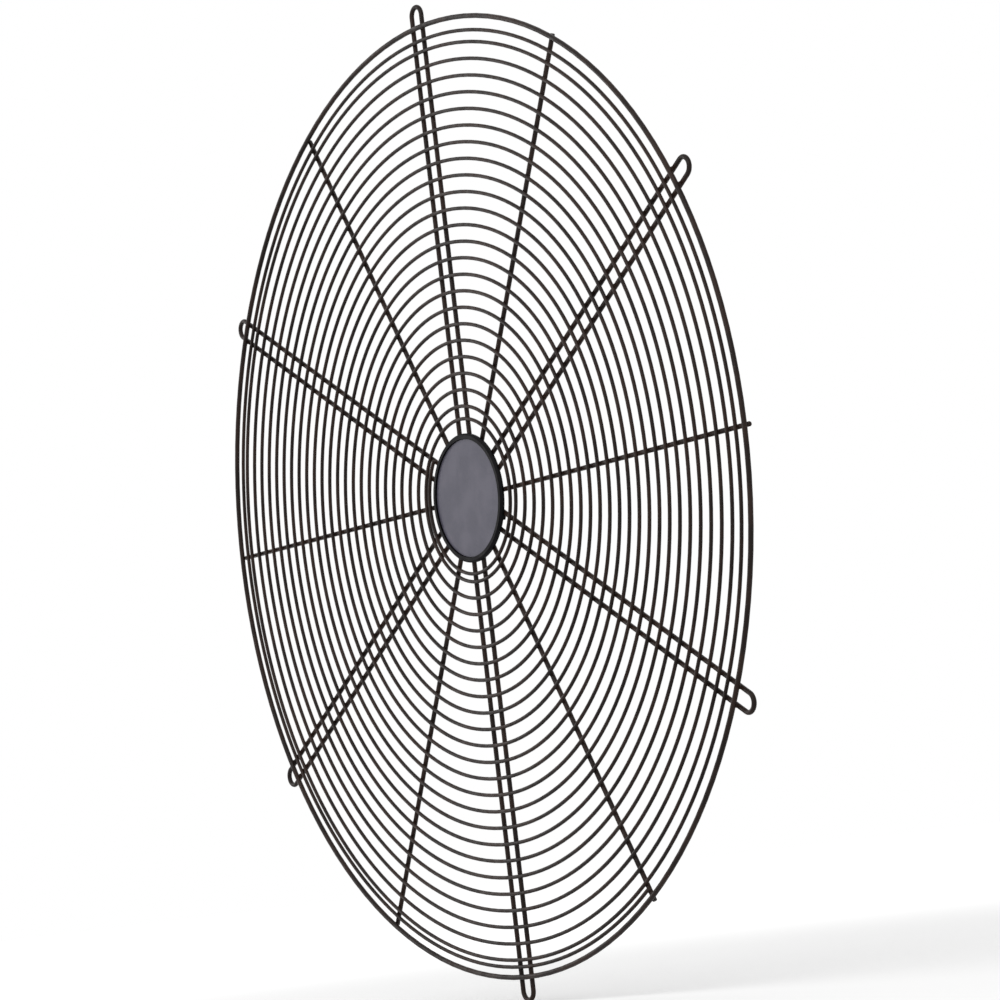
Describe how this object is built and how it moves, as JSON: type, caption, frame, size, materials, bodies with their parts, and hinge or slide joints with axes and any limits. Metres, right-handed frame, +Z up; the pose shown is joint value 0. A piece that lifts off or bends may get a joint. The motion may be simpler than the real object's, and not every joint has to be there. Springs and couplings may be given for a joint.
{
  "type": "fan cover",
  "caption": "Round flat wire guard for a fan: a spiral wire and a rim ring on radial spokes, with fixing loops outside the rim and a plain round badge at the hub.",
  "frame": {"origin": "on the guard's axis, in the plane on which the fixing loops sit against the fan housing", "axes": "-Y out of the guard's front face, +Y towards the fan, +Z up through a fixing loop, +X to the right as seen from the front"},
  "size_m": [0.822, 0.0152, 0.857],
  "materials": {
    "black_wire": "black coating, satin",
    "badge_black": "moulded, satin",
    "badge_slate": "printed slate grey, satin"
  },
  "bodies": {
    "root": {"spiral_wire": "black_wire", "rim_ring": "black_wire", "hub_ring": "black_wire", "hairpin_spoke_1": "black_wire", "hairpin_spoke_2": "black_wire", "hairpin_spoke_3": "black_wire", "hairpin_spoke_4": "black_wire", "hairpin_spoke_5": "black_wire", "hairpin_spoke_6": "black_wire", "single_spoke_1": "black_wire", "single_spoke_2": "black_wire", "single_spoke_3": "black_wire", "single_spoke_4": "black_wire", "single_spoke_5": "black_wire", "single_spoke_6": "black_wire", "badge_dish": "badge_black", "badge_face": "badge_slate"}
  },
  "joints": []
}
